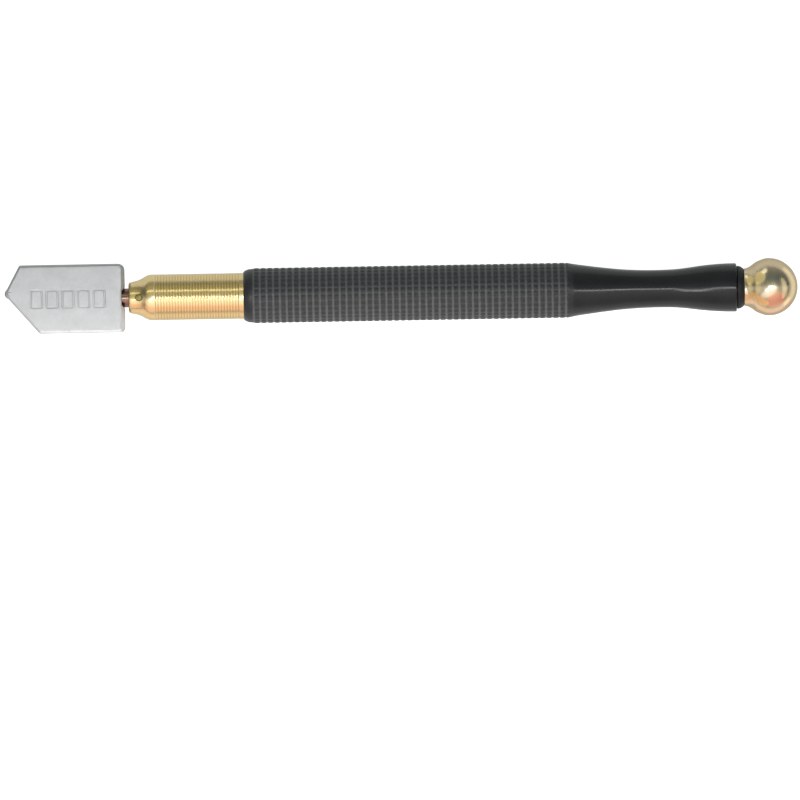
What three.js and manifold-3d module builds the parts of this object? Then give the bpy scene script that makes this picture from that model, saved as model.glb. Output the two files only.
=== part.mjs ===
// Oil-fed glass cutter: flat zinc head with a carbide wheel, brass ferrule with a spring-loaded oil
// valve, hollow plastic handle that holds the oil, and a brass ball cap that screws out for filling.
// Millimetres. Tool coordinates: X runs from the cutting edge of the wheel (X = 0) back along the
// handle axis, Y is across the flat head, Z is square to the flat head. The last group moves this
// to the part's own frame: origin under the middle of the tool, on the surface it lies on.
import * as THREE from 'three';
import { mergeVertices } from 'three/addons/utils/BufferGeometryUtils.js';
import Module from 'manifold-3d';

const wasm = await Module();
wasm.setup();

// ---------------------------------------------------------------- driving dimensions
const LENGTH = 175;            // cutting edge to the end of the ball
const BALL_R = 6.35;           // 12.7 mm ball

// head
const HEAD_HALF_W = 7.57;      // half width of the flat head
const HEAD_T = 6.0;            // thickness
const HEAD_REAR = 26.3;        // rear face
const HEAD_FRONT = 0.35;       // the cheeks stop here, the wheel stands proud of them
const HEAD_BEVEL = 0.4;        // bevel round both faces
const TOP_CORNER_X = 3.4;      // where the steep slope meets the upper edge
const LOW_CORNER_X = 7.65;     // where the shallow slope meets the lower edge
const FRONT_TOP_Y = 1.87;
const FRONT_LOW_Y = 0.78;
const REAR_CORNER_R = 0.85;
const PANEL = { x0: 4.8, x1: 23.6, y0: -2.7, y1: 2.7, r: 0.9, depth: 0.18 };
const STEM_SOCKET_X = 16.3;    // bottom of the socket for the stem
const OIL_R = 0.8;             // oil channel through the head and the stem

// wheel
const WHEEL_R = 1.2;
const WHEEL_T = 1.0;
const WHEEL_EDGE = 0.2;        // radial depth of the cutting bevel
const WHEEL_X = WHEEL_R;
const WHEEL_Y = 1.32;
const AXLE_R = 0.36;
const AXLE_BORE_R = 0.4;
const POCKET_R = 1.5;
const POCKET_T = 1.3;

// stem
const STEM_R = 2.1;
const STEM_END = 38.0;
const FEED_TRAVEL = 0.8;       // how far the head pushes in to open the valve
const FLAT_Z = 1.55;           // height of the flat that the lock screw works on
const SCREW_X = 29.7;
const SCREW_R = 0.75;
const DOG_R = 0.6;
const DOG_Z = 1.80;

// ferrule
const NOSE_X = 27.4;
const FERRULE_R = 5.08;
const FERRULE_SHOULDER = 54.0;
const SPIGOT_R = 4.5;
const SPIGOT_END = 62.0;
const GUIDE_R = 2.25;
const CHAMBER_X = 33.5;
const CHAMBER_R = 3.25;
const SEAT_X = 50.0;
const SEAT_R = 3.85;

// handle
const HANDLE_FRONT = 52.5;
const HANDLE_END = 161.5;
const COLLAR_R = 5.86;
const GRIP_R = 5.97;
const GRIP_X0 = 54.9;
const GRIP_X1 = 124.3;
const RESERVOIR_R = 3.1;
const RESERVOIR_X0 = 62.5;
const THREAD_X0 = 156.4;
const WAIST = [                // [X, radius] of the smooth waisted rear part
  [126.3, 5.60], [129.2, 5.21], [132.2, 4.84], [135.2, 4.50], [138.2, 4.28],
  [142.2, 4.14], [147.1, 4.16], [149.1, 4.27], [151.1, 4.56], [154.1, 4.97],
  [156.1, 5.11], [158.5, 5.21], [161.1, 5.23],
];

// cap thread
const PITCH = 1.0;
const STUD_MEAN_R = 3.45;
const THREAD_AMP = 0.26;
const THREAD_GAP = 0.18;       // radial running clearance of the thread
const STUD_X0 = 156.9;
const STUD_X1 = 161.35;
const STUD_NECK_R = 2.88;
const RING_X = 162.33;         // middle of the seal ring
const RING_R = 3.78;
const RING_SECTION = 0.78;
const CAP_FACE = 163.16;

// ---------------------------------------------------------------- helpers
// A closed solid from any closed geometry: shared corners merged, empty triangles dropped, faces out.
function solid(geometry) {
  const bare = geometry.clone();
  for (const name of Object.keys(bare.attributes)) if (name !== 'position') bare.deleteAttribute(name);
  const merged = mergeVertices(bare, 1e-4);
  const p = merged.attributes.position.array;
  const index = merged.index.array;
  const tris = [];
  let volume = 0;
  for (let i = 0; i < index.length; i += 3) {
    const [a, b, c] = [index[i], index[i + 1], index[i + 2]];
    if (a === b || b === c || c === a) continue;
    tris.push(a, b, c);
    const [ax, ay, az] = [p[3 * a], p[3 * a + 1], p[3 * a + 2]];
    const [bx, by, bz] = [p[3 * b], p[3 * b + 1], p[3 * b + 2]];
    const [cx, cy, cz] = [p[3 * c], p[3 * c + 1], p[3 * c + 2]];
    volume += ax * (by * cz - bz * cy) + ay * (bz * cx - bx * cz) + az * (bx * cy - by * cx);
  }
  if (volume < 0) for (let i = 0; i < tris.length; i += 3) [tris[i + 1], tris[i + 2]] = [tris[i + 2], tris[i + 1]];
  return new wasm.Manifold(new wasm.Mesh({
    numProp: 3,
    vertProperties: Float32Array.from(p),
    triVerts: Uint32Array.from(tris),
  }));
}

// Turned about the X axis: profile is a list of [x, radius]; phase 0 puts a corner on +Z.
function turned(profile, segments, phase = 0) {
  const g = new THREE.LatheGeometry(profile.map(([x, r]) => new THREE.Vector2(r, x)), segments, phase);
  g.rotateZ(-Math.PI / 2);
  return solid(g);
}

// A ring or tube turned about X: the profile closes on itself.
function turnedRing(profile, segments, phase = 0) {
  return turned([...profile, profile[0]], segments, phase);
}

// A plain rod along X, from x0 to x1.
function rodX(x0, x1, r, segments, y = 0, z = 0) {
  return turned([[x0, 0], [x0, r], [x1, r], [x1, 0]], segments).translate([0, y, z]);
}

// A plain rod along Z at (x, y), from z0 to z1.
function rodZ(x, y, z0, z1, r, segments) {
  const g = new THREE.LatheGeometry(
    [[0, z0], [r, z0], [r, z1], [0, z1]].map(([rr, zz]) => new THREE.Vector2(rr, zz)), segments);
  g.rotateX(Math.PI / 2);
  g.translate(x, y, 0);
  return solid(g);
}

function block(x0, x1, y0, y1, z0, z1) {
  const g = new THREE.BoxGeometry(x1 - x0, y1 - y0, z1 - z0);
  g.translate((x0 + x1) / 2, (y0 + y1) / 2, (z0 + z1) / 2);
  return solid(g);
}

// A right-hand threaded rod along X: a cylinder whose radius follows the helix.
function threaded(x0, x1, meanR, amp, rowsPerPitch, segments) {
  const rows = Math.round((x1 - x0) / PITCH * rowsPerPitch);
  const g = new THREE.CylinderGeometry(meanR, meanR, x1 - x0, segments, rows);
  g.rotateZ(-Math.PI / 2);
  g.translate((x0 + x1) / 2, 0, 0);
  const p = g.attributes.position;
  for (let i = 0; i < p.count; i++) {
    const [x, y, z] = [p.getX(i), p.getY(i), p.getZ(i)];
    const r = Math.hypot(y, z);
    if (r < 1e-6) continue;
    const u = x / PITCH - Math.atan2(z, y) / (2 * Math.PI);
    const k = (meanR + amp * Math.cos(2 * Math.PI * u)) / r;
    p.setXYZ(i, x, y * k, z * k);
  }
  return solid(g);
}

function piece(name, manifold, color, roughness, metalness) {
  const out = manifold.getMesh();
  const g = new THREE.BufferGeometry();
  g.setAttribute('position', new THREE.BufferAttribute(Float32Array.from(out.vertProperties), 3));
  g.setIndex(new THREE.BufferAttribute(Uint32Array.from(out.triVerts), 1));
  g.computeVertexNormals();
  const mesh = new THREE.Mesh(g, new THREE.MeshStandardMaterial({ color, roughness, metalness }));
  mesh.name = name;
  return mesh;
}

// ---------------------------------------------------------------- head
function makeHeadBody() {
  const s = new THREE.Shape();
  s.moveTo(HEAD_FRONT, FRONT_LOW_Y);
  s.lineTo(LOW_CORNER_X, -HEAD_HALF_W);
  s.lineTo(HEAD_REAR - REAR_CORNER_R, -HEAD_HALF_W);
  s.absarc(HEAD_REAR - REAR_CORNER_R, -HEAD_HALF_W + REAR_CORNER_R, REAR_CORNER_R, -Math.PI / 2, 0, false);
  s.lineTo(HEAD_REAR, HEAD_HALF_W - REAR_CORNER_R);
  s.absarc(HEAD_REAR - REAR_CORNER_R, HEAD_HALF_W - REAR_CORNER_R, REAR_CORNER_R, 0, Math.PI / 2, false);
  s.lineTo(TOP_CORNER_X, HEAD_HALF_W);
  s.lineTo(HEAD_FRONT, FRONT_TOP_Y);
  s.closePath();
  const g = new THREE.ExtrudeGeometry(s, {
    depth: HEAD_T - 2 * HEAD_BEVEL,
    bevelEnabled: true,
    bevelThickness: HEAD_BEVEL,
    bevelSize: HEAD_BEVEL,
    bevelOffset: -HEAD_BEVEL,
    bevelSegments: 1,
    curveSegments: 4,
  });
  g.translate(0, 0, -HEAD_T / 2 + HEAD_BEVEL);
  let body = solid(g);

  // shallow plain panel in the upper face
  const q = PANEL;
  const f = new THREE.Shape();
  f.moveTo(q.x0 + q.r, q.y0);
  f.lineTo(q.x1 - q.r, q.y0);
  f.absarc(q.x1 - q.r, q.y0 + q.r, q.r, -Math.PI / 2, 0, false);
  f.lineTo(q.x1, q.y1 - q.r);
  f.absarc(q.x1 - q.r, q.y1 - q.r, q.r, 0, Math.PI / 2, false);
  f.lineTo(q.x0 + q.r, q.y1);
  f.absarc(q.x0 + q.r, q.y1 - q.r, q.r, Math.PI / 2, Math.PI, false);
  f.lineTo(q.x0, q.y0 + q.r);
  f.absarc(q.x0 + q.r, q.y0 + q.r, q.r, Math.PI, 1.5 * Math.PI, false);
  const panel = new THREE.ExtrudeGeometry(f, { depth: 1, bevelEnabled: false, curveSegments: 4 });
  panel.translate(0, 0, HEAD_T / 2 - q.depth);

  body = body.subtract(solid(panel));
  body = body.subtract(rodZ(WHEEL_X, WHEEL_Y, -POCKET_T / 2, POCKET_T / 2, POCKET_R, 32));
  body = body.subtract(rodZ(WHEEL_X, WHEEL_Y, -HEAD_T, HEAD_T, AXLE_BORE_R, 16));
  body = body.subtract(rodX(2.2, STEM_SOCKET_X + 1, OIL_R, 12));
  body = body.subtract(rodX(STEM_SOCKET_X, HEAD_REAR + 1, STEM_R + 0.06, 24));
  return piece('head_body', body, 0xc9c9cb, 0.48, 0.8);
}

function makeWheel() {
  const h = WHEEL_T / 2;
  const profile = [
    [AXLE_BORE_R, -h], [WHEEL_R - WHEEL_EDGE, -h], [WHEEL_R, 0], [WHEEL_R - WHEEL_EDGE, h], [AXLE_BORE_R, h],
    [AXLE_BORE_R, -h],
  ];
  const g = new THREE.LatheGeometry(profile.map(([r, z]) => new THREE.Vector2(r, z)), 32, Math.PI / 2);
  g.rotateX(Math.PI / 2);
  g.translate(WHEEL_X, WHEEL_Y, 0);
  return piece('cutting_wheel', solid(g), 0x5b5c60, 0.3, 0.9);
}

function makeAxle() {
  return piece('wheel_axle', rodZ(WHEEL_X, WHEEL_Y, -HEAD_T / 2 + 0.1, HEAD_T / 2 - 0.1, AXLE_R, 16),
    0x8d8f93, 0.3, 0.95);
}

function makeStem() {
  let s = turnedRing([
    [STEM_SOCKET_X + 0.1, OIL_R], [STEM_SOCKET_X + 0.1, STEM_R - 0.25], [STEM_SOCKET_X + 0.35, STEM_R],
    [STEM_END - 0.3, STEM_R], [STEM_END, STEM_R - 0.3], [STEM_END, OIL_R],
  ], 24);
  // flat with end shoulders: the lock screw's dog rides in it, which limits the swivel and keeps the stem in
  s = s.subtract(block(SCREW_X - DOG_R - FEED_TRAVEL - 0.1, SCREW_X + DOG_R + 0.1, -3, 3, FLAT_Z, 3));
  return piece('head_stem', s, 0xb97f62, 0.3, 0.95);
}

function makeWick() {
  return piece('stem_wick', rodX(3.0, STEM_END - 0.2, 0.66, 10), 0xe9e2cf, 0.95, 0);
}

// ---------------------------------------------------------------- feed valve
function makePlunger() {
  const x0 = STEM_END + 0.06;
  let p = turned([
    [x0, 0], [x0, 2.7], [x0 + 0.4, 3.05], [x0 + 1.95, 3.05], [x0 + 1.95, 1.5], [x0 + 2.6, 1.0],
    [56.3, 1.0], [56.6, 0.7], [56.6, 0],
  ], 24);
  // three flutes let the oil past the collar
  for (let i = 0; i < 3; i++) {
    const a = (i * 2 * Math.PI) / 3 + Math.PI / 6;
    const flute = rodX(x0 - 1, x0 + 3, 0.75, 10, 3.2 * Math.cos(a), 3.2 * Math.sin(a));
    p = p.subtract(flute);
  }
  // a cross slot in the front face lets oil into the stem
  p = p.subtract(block(x0 - 1, x0 + 0.7, -0.45, 0.45, -4, 4));
  return piece('feed_plunger', p, 0xcfb270, 0.35, 0.95);
}

class Helix extends THREE.Curve {
  constructor(x0, x1, r, turns) {
    super();
    Object.assign(this, { x0, x1, r, turns });
  }
  getPoint(t, target = new THREE.Vector3()) {
    const a = t * this.turns * 2 * Math.PI;
    // the two end turns lie closer together than the working turns
    const e = t - 0.055 * Math.sin(4 * Math.PI * t) / (Math.PI) ;
    return target.set(this.x0 + (this.x1 - this.x0) * e, this.r * Math.cos(a), this.r * Math.sin(a));
  }
}

function makeSpring() {
  const wire = new THREE.Shape();
  wire.absarc(0, 0, 0.29, 0, 2 * Math.PI, false);
  const g = new THREE.ExtrudeGeometry(wire, {
    steps: 66, curveSegments: 4, bevelEnabled: false,
    extrudePath: new Helix(STEM_END + 2.45, SEAT_X - 0.4, 2.45, 6.5),
  });
  return piece('plunger_spring', solid(g), 0xa9abb0, 0.25, 0.95);
}

function makeSeat() {
  return piece('valve_seat', turnedRing([
    [SEAT_X + 0.06, 1.3], [SEAT_X + 0.06, SEAT_R - 0.35], [SEAT_X + 0.3, SEAT_R - 0.06],
    [SEAT_X + 4.0, SEAT_R - 0.06], [SEAT_X + 4.0, 1.7], [SEAT_X + 3.7, 1.3],
  ], 24), 0xc9a95f, 0.3, 0.95);
}

function makeSeal() {
  return piece('valve_seal', turnedRing([
    [SEAT_X + 4.06, 1.06], [SEAT_X + 4.06, 2.5], [SEAT_X + 5.2, 2.5], [SEAT_X + 5.2, 1.06],
  ], 20), 0x232323, 0.85, 0);
}

function makeRetainer() {
  return piece('valve_retainer', turnedRing([
    [SEAT_X + 5.26, 1.06], [SEAT_X + 5.26, 2.0], [SEAT_X + 6.1, 2.0], [SEAT_X + 6.3, 1.8], [SEAT_X + 6.3, 1.06],
  ], 20), 0xa9abb0, 0.3, 0.95);
}

// ---------------------------------------------------------------- ferrule
function makeFerrule() {
  let f = turnedRing([
    [NOSE_X, GUIDE_R], [NOSE_X, 3.1], [NOSE_X + 0.3, 3.42], [29.0, 3.70], [30.3, 4.2], [31.3, 4.82], [32.3, FERRULE_R],
    [FERRULE_SHOULDER, FERRULE_R], [FERRULE_SHOULDER, SPIGOT_R], [SPIGOT_END - 0.4, SPIGOT_R],
    [SPIGOT_END, SPIGOT_R - 0.4], [SPIGOT_END, SEAT_R], [SEAT_X, SEAT_R], [SEAT_X, CHAMBER_R],
    [CHAMBER_X, CHAMBER_R], [CHAMBER_X, GUIDE_R],
  ], 32);
  f = f.subtract(rodZ(SCREW_X, 0, 1.9, 6, SCREW_R + 0.06, 16));
  return piece('ferrule', f, 0xd9c184, 0.3, 0.95);
}

function makeLockScrew() {
  let s = rodZ(SCREW_X, 0, 2.35, 3.62, SCREW_R, 16).add(rodZ(SCREW_X, 0, DOG_Z, 2.6, DOG_R, 16));
  s = s.subtract(block(SCREW_X - 0.14, SCREW_X + 0.14, -1, 1, 3.25, 4));
  return piece('stem_lock_screw', s, 0x6a5a34, 0.4, 0.9);
}

function makeGasket() {
  return piece('ferrule_gasket', turnedRing([
    [FERRULE_SHOULDER + 0.05, SPIGOT_R + 0.08], [FERRULE_SHOULDER + 0.05, FERRULE_R - 0.03],
    [FERRULE_SHOULDER + 0.95, FERRULE_R - 0.03], [FERRULE_SHOULDER + 0.95, SPIGOT_R + 0.08],
  ], 32), 0x1c1c1c, 0.85, 0);
}

// ---------------------------------------------------------------- handle
function makeHandle() {
  const outer = [
    [HANDLE_FRONT, COLLAR_R - 0.6], [HANDLE_FRONT + 0.45, COLLAR_R - 0.26], [HANDLE_FRONT + 1.3, COLLAR_R], [GRIP_X0, COLLAR_R], [GRIP_X0 + 0.3, GRIP_R],
    [GRIP_X1, GRIP_R], ...WAIST, [HANDLE_END, 4.85],
  ];
  const inner = [
    [HANDLE_END, RESERVOIR_R], [RESERVOIR_X0, RESERVOIR_R], [RESERVOIR_X0, SPIGOT_R + 0.08],
    [FERRULE_SHOULDER + 1.0, SPIGOT_R + 0.08], [FERRULE_SHOULDER + 1.0, FERRULE_R + 0.07],
    [HANDLE_FRONT, FERRULE_R + 0.07],
  ];
  let h = turnedRing([...outer, ...inner], 28, Math.PI / 28);
  h = h.subtract(threaded(THREAD_X0, HANDLE_END + 0.9, STUD_MEAN_R + THREAD_GAP, THREAD_AMP, 6, 24));
  return piece('handle_barrel', h, 0x2a2a2b, 0.42, 0);
}

// ---------------------------------------------------------------- cap
function makeCapSeal() {
  const ring = [];
  for (let i = 0; i < 12; i++) {
    const a = (i / 12) * 2 * Math.PI;
    ring.push([RING_X - RING_SECTION * Math.cos(a), RING_R + RING_SECTION * Math.sin(a)]);
  }
  return piece('cap_seal', turnedRing(ring, 28), 0x1b1b1b, 0.6, 0);
}

function makeBallCap() {
  const centre = LENGTH - BALL_R;
  const profile = [[STUD_X1 - 0.4, 0], [STUD_X1 - 0.4, STUD_NECK_R], [CAP_FACE, STUD_NECK_R], [CAP_FACE, 4.15],
    [CAP_FACE + 0.15, 4.3], [165.0, 5.2]];
  const start = Math.asin(5.2 / BALL_R);
  const steps = 15;
  for (let i = 1; i <= steps; i++) {
    // measured from the handle side round to the far pole; one step lands on the equator
    const a = start + (Math.PI - start) * (i / steps);
    profile.push([centre - BALL_R * Math.cos(a), i === steps ? 0 : BALL_R * Math.sin(a)]);
  }
  // put the step nearest the equator exactly on it, so the ball has its full diameter
  let k = 6;
  for (let i = 6; i < profile.length; i++)
    if (Math.abs(profile[i][0] - centre) < Math.abs(profile[k][0] - centre)) k = i;
  profile[k] = [centre, BALL_R];
  let cap = turned(profile, 32);
  const stud = threaded(STUD_X0, STUD_X1, STUD_MEAN_R, THREAD_AMP, 6, 24);
  cap = cap.add(stud);
  return piece('ball_cap', cap, 0xdcc9a0, 0.16, 1.0);
}

// ---------------------------------------------------------------- assembly
const headGroup = new THREE.Group();
headGroup.add(makeHeadBody(), makeWheel(), makeAxle(), makeStem(), makeWick());

const feedGroup = new THREE.Group();
feedGroup.add(makePlunger(), makeSeal(), makeRetainer());

const barrelGroup = new THREE.Group();
barrelGroup.add(makeHandle(), makeFerrule(), makeGasket(), makeSeat(), makeLockScrew(), makeSpring());

const capGroup = new THREE.Group();
capGroup.add(makeCapSeal(), makeBallCap());

const cutter = new THREE.Group();
cutter.add(headGroup, feedGroup, barrelGroup, capGroup);
cutter.position.set(-LENGTH / 2, 0, BALL_R);

const root = new THREE.Group();
root.add(cutter);

export default root;
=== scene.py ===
import math

import bmesh
import bpy
import numpy as np
from mathutils import Matrix, Vector


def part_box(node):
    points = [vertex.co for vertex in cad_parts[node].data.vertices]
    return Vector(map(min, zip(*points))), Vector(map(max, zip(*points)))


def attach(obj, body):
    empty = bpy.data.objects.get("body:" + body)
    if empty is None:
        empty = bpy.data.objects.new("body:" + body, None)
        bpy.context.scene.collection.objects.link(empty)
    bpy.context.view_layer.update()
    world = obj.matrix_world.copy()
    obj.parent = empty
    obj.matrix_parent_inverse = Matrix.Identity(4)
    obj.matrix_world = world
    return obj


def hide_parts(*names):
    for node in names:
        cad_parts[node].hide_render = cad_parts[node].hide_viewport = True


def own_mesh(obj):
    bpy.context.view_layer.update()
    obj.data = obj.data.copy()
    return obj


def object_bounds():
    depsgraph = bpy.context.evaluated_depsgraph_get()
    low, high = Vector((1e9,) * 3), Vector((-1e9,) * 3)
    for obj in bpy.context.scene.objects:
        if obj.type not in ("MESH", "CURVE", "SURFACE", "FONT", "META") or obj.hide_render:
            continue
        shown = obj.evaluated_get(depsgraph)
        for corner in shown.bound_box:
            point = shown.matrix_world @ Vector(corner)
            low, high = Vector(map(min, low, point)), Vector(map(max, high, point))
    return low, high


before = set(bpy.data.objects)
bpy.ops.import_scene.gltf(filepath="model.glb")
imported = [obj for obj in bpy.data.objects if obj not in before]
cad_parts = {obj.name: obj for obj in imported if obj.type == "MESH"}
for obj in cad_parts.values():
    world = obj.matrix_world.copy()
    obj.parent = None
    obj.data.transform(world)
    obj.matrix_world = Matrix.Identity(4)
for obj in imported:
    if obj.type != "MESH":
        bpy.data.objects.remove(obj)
CAD_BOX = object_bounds()

# ------------------------------------------------------------------ frame positions
MM = 0.001
TIP = CAD_BOX[0].x                                   # cutting edge of the wheel
_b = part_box("ball_cap")
AXIS_Z = (_b[0].z + _b[1].z) / 2                     # the turned parts' common axis
LENGTH = (CAD_BOX[1].x - CAD_BOX[0].x) / MM          # 175 mm
_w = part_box("cutting_wheel")
WHEEL_C = ((_w[0] + _w[1]) / 2)                      # wheel centre
_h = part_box("head_body")
HEAD_HALF_T = (_h[1].z - _h[0].z) / 2 / MM
BALL_R = (_b[1].z - _b[0].z) / 2 / MM


def X(mm):
    """Tool distance back from the cutting edge, in mm, to the row frame."""
    return TIP + mm * MM


# ------------------------------------------------------------------ mesh helpers
def make_mesh(name, verts, faces, smooth=True, sharp=35.0):
    me = bpy.data.meshes.new(name)
    if isinstance(faces, tuple):                     # (quads array, list of tris)
        quads, tris = faces
        nq, nt = len(quads), len(tris)
        me.vertices.add(len(verts))
        me.vertices.foreach_set("co", np.asarray(verts, np.float32).ravel())
        loops = np.concatenate([np.asarray(quads, np.int32).ravel(), np.asarray(tris, np.int32).ravel()])
        me.loops.add(len(loops))
        me.loops.foreach_set("vertex_index", loops)
        me.polygons.add(nq + nt)
        starts = np.concatenate([np.arange(nq) * 4, nq * 4 + np.arange(nt) * 3]).astype(np.int32)
        me.polygons.foreach_set("loop_start", starts)
    else:
        me.from_pydata([tuple(v) for v in verts], [], faces)
    me.update(calc_edges=True)
    me.validate()
    if smooth:
        me.polygons.foreach_set("use_smooth", np.ones(len(me.polygons), bool))
        me.set_sharp_from_angle(angle=math.radians(sharp))
    me.update()
    ob = bpy.data.objects.new(name, me)
    bpy.context.scene.collection.objects.link(ob)
    return ob


def fillet(points, default=0.0, seg=5):
    """Profile points [(x, r, fillet radius)], corners rounded by arcs. Returns [(x, r)]."""
    out = []
    n = len(points)
    for i, p in enumerate(points):
        rad = p[2] if len(p) > 2 else default
        if rad <= 0 or i in (0, n - 1):
            out.append((p[0], p[1]))
            continue
        a = np.array(points[i - 1][:2], float)
        b = np.array(p[:2], float)
        c = np.array(points[i + 1][:2], float)
        u, v = a - b, c - b
        lu, lv = np.linalg.norm(u), np.linalg.norm(v)
        u, v = u / lu, v / lv
        ang = math.acos(max(-1, min(1, float(u @ v))))
        t = rad / math.tan(ang / 2) if ang > 1e-3 else 0
        t = min(t, lu * 0.48, lv * 0.48)
        r = t * math.tan(ang / 2)
        s, e = b + u * t, b + v * t
        if abs(math.pi - ang) < 1e-3:
            out.append(tuple(b))
            continue
        bis = (u + v) / np.linalg.norm(u + v)
        centre = b + bis * (r / math.sin(ang / 2))
        a0 = math.atan2(*(s - centre)[::-1])
        a1 = math.atan2(*(e - centre)[::-1])
        d = (a1 - a0 + math.pi) % (2 * math.pi) - math.pi
        for k in range(seg + 1):
            w = a0 + d * k / seg
            out.append((centre[0] + r * math.cos(w), centre[1] + r * math.sin(w)))
    return out


def refine(profile, step):
    """No two neighbouring profile points further apart than step, in mm."""
    out = [profile[0]]
    for a, b in zip(profile, profile[1:]):
        d = math.hypot(b[0] - a[0], b[1] - a[1])
        k = max(1, int(math.ceil(d / step)))
        for i in range(1, k + 1):
            out.append((a[0] + (b[0] - a[0]) * i / k, a[1] + (b[1] - a[1]) * i / k))
    return out


def lathe(name, profile, n, fn=None, loop=False, axis="x", centre=(0.0, 0.0), phase=0.0, sharp=35.0, tag=None):
    """A turned mesh from a profile in tool mm. fn(x, r, a) may change x and r (arrays). axis 'x': about the
    tool axis. axis 'z': profile is [(z above the axis plane, r)] about the line at centre (tool x, y)."""
    prof = np.array(profile, float)
    if loop:
        prof = np.vstack([prof, prof[:1]]) if not np.allclose(prof[0], prof[-1]) else prof
    m = len(prof)
    a = phase + np.arange(n) * (2 * math.pi / n)
    xs = np.repeat(prof[:, 0][:, None], n, 1)
    rs = np.repeat(prof[:, 1][:, None], n, 1)
    aa = np.repeat(a[None, :], m, 0)
    if fn is not None:
        xs, rs = fn(xs, rs, aa)
    pole0 = (not loop) and prof[0, 1] < 1e-9
    pole1 = (not loop) and prof[-1, 1] < 1e-9
    ys, zs = rs * np.cos(aa), rs * np.sin(aa)
    if axis == "x":
        co = np.stack([TIP + xs * MM, ys * MM, AXIS_Z + zs * MM], -1)
    else:
        # the same solid with its axis on Z: (x, y, z) -> (y, z, x)
        co = np.stack([X(centre[0]) + ys * MM, centre[1] * MM + zs * MM, AXIS_Z + xs * MM], -1)
    rows = m - 1 if loop else m
    ids = -np.ones((rows, n), int)
    verts = []
    k = 0
    for i in range(rows):
        if (i == 0 and pole0) or (i == m - 1 and pole1):
            verts.append(co[i, :1])
            ids[i, :] = k
            k += 1
        else:
            verts.append(co[i])
            ids[i, :] = np.arange(k, k + n)
            k += n
    verts = np.vstack(verts)
    quads, tris = [], []
    nxt = np.roll(np.arange(n), -1)
    top = rows if loop else rows - 1
    for i in range(top):
        i2 = (i + 1) % rows
        A, B, C, D = ids[i], ids[i][nxt], ids[i2][nxt], ids[i2]
        if i == 0 and pole0:
            tris.append(np.stack([A, C, D], 1))
        elif i2 == m - 1 and pole1 and not loop:
            tris.append(np.stack([A, B, C], 1))
        else:
            quads.append(np.stack([A, B, C, D], 1))
    quads = np.vstack(quads) if quads else np.zeros((0, 4), int)
    tris = np.vstack(tris) if tris else np.zeros((0, 3), int)
    ob = make_mesh(name, verts, (quads, tris), sharp=sharp)
    if tag is not None:
        # a value per vertex, read by the material
        v = tag(xs, rs, aa)
        flat = []
        for i in range(rows):
            flat.append(v[i, :1] if ((i == 0 and pole0) or (i == m - 1 and pole1)) else v[i])
        at = ob.data.attributes.new("relief", "FLOAT", "POINT")
        at.data.foreach_set("value", np.concatenate(flat).astype(np.float32))
    return ob


def cut(ob, cutter, sharp=35.0, op="DIFFERENCE"):
    """ob less (or with) cutter, as a plain mesh; the cutter is removed."""
    m = ob.modifiers.new("cut", "BOOLEAN")
    m.operation = op
    m.solver = "EXACT"
    m.object = cutter
    dg = bpy.context.evaluated_depsgraph_get()
    me = bpy.data.meshes.new_from_object(ob.evaluated_get(dg), depsgraph=dg)
    ob.modifiers.clear()
    old = ob.data
    ob.data = me
    me.name = old.name
    bpy.data.meshes.remove(old)
    bpy.data.objects.remove(cutter)
    me.polygons.foreach_set("use_smooth", np.ones(len(me.polygons), bool))
    me.set_sharp_from_angle(angle=math.radians(sharp))
    return ob


def prism(name, outline, z0, z1):
    """A closed prism over an outline in tool mm (counter-clockwise), from z0 to z1 mm about the axis plane."""
    n = len(outline)
    verts = [(X(x), y * MM, AXIS_Z + z * MM) for z in (z0, z1) for x, y in outline]
    faces = [tuple(range(n - 1, -1, -1)), tuple(range(n, 2 * n))]
    faces += [(i, (i + 1) % n, n + (i + 1) % n, n + i) for i in range(n)]
    return make_mesh(name, verts, faces, smooth=False)


def inset(poly, d):
    """A convex counter-clockwise outline [(x, y, r)] with every side moved in by d mm; corner radii shrink."""
    n = len(poly)
    lines = []
    for i in range(n):
        a, b = np.array(poly[i][:2], float), np.array(poly[(i + 1) % n][:2], float)
        t = (b - a) / np.linalg.norm(b - a)
        lines.append((a + np.array([-t[1], t[0]]) * d, t))
    out = []
    for i in range(n):
        (p, t), (q, u) = lines[i - 1], lines[i]
        k = np.cross(q - p, u) / np.cross(t, u)
        c = p + t * k
        out.append((c[0], c[1], max(poly[i][2] - d, 0.04)))
    return out


def chamfered_plate(name, poly, half_t, levels, seg=5):
    """A plate over a convex outline. levels: [(inset, depth below the face)] from the side wall to the face."""
    steps = [(d, -half_t + h) for d, h in reversed(levels)] + [(d, half_t - h) for d, h in levels]
    rings = [[(X(x), y * MM, AXIS_Z + z * MM) for x, y in round_outline(inset(poly, d), seg=seg)] for d, z in steps]
    n = len(rings[0])
    verts = [v for r in rings for v in r]
    faces = [tuple(range(n - 1, -1, -1)), tuple(range(n * (len(rings) - 1), n * len(rings)))]
    for k in range(len(rings) - 1):
        a, b = k * n, (k + 1) * n
        faces += [(a + i, a + (i + 1) % n, b + (i + 1) % n, b + i) for i in range(n)]
    return make_mesh(name, verts, faces, smooth=True)


def apply_modifiers(ob):
    dg = bpy.context.evaluated_depsgraph_get()
    me = bpy.data.meshes.new_from_object(ob.evaluated_get(dg), preserve_all_data_layers=True, depsgraph=dg)
    ob.modifiers.clear()
    old = ob.data
    ob.data = me
    bpy.data.meshes.remove(old)


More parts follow.
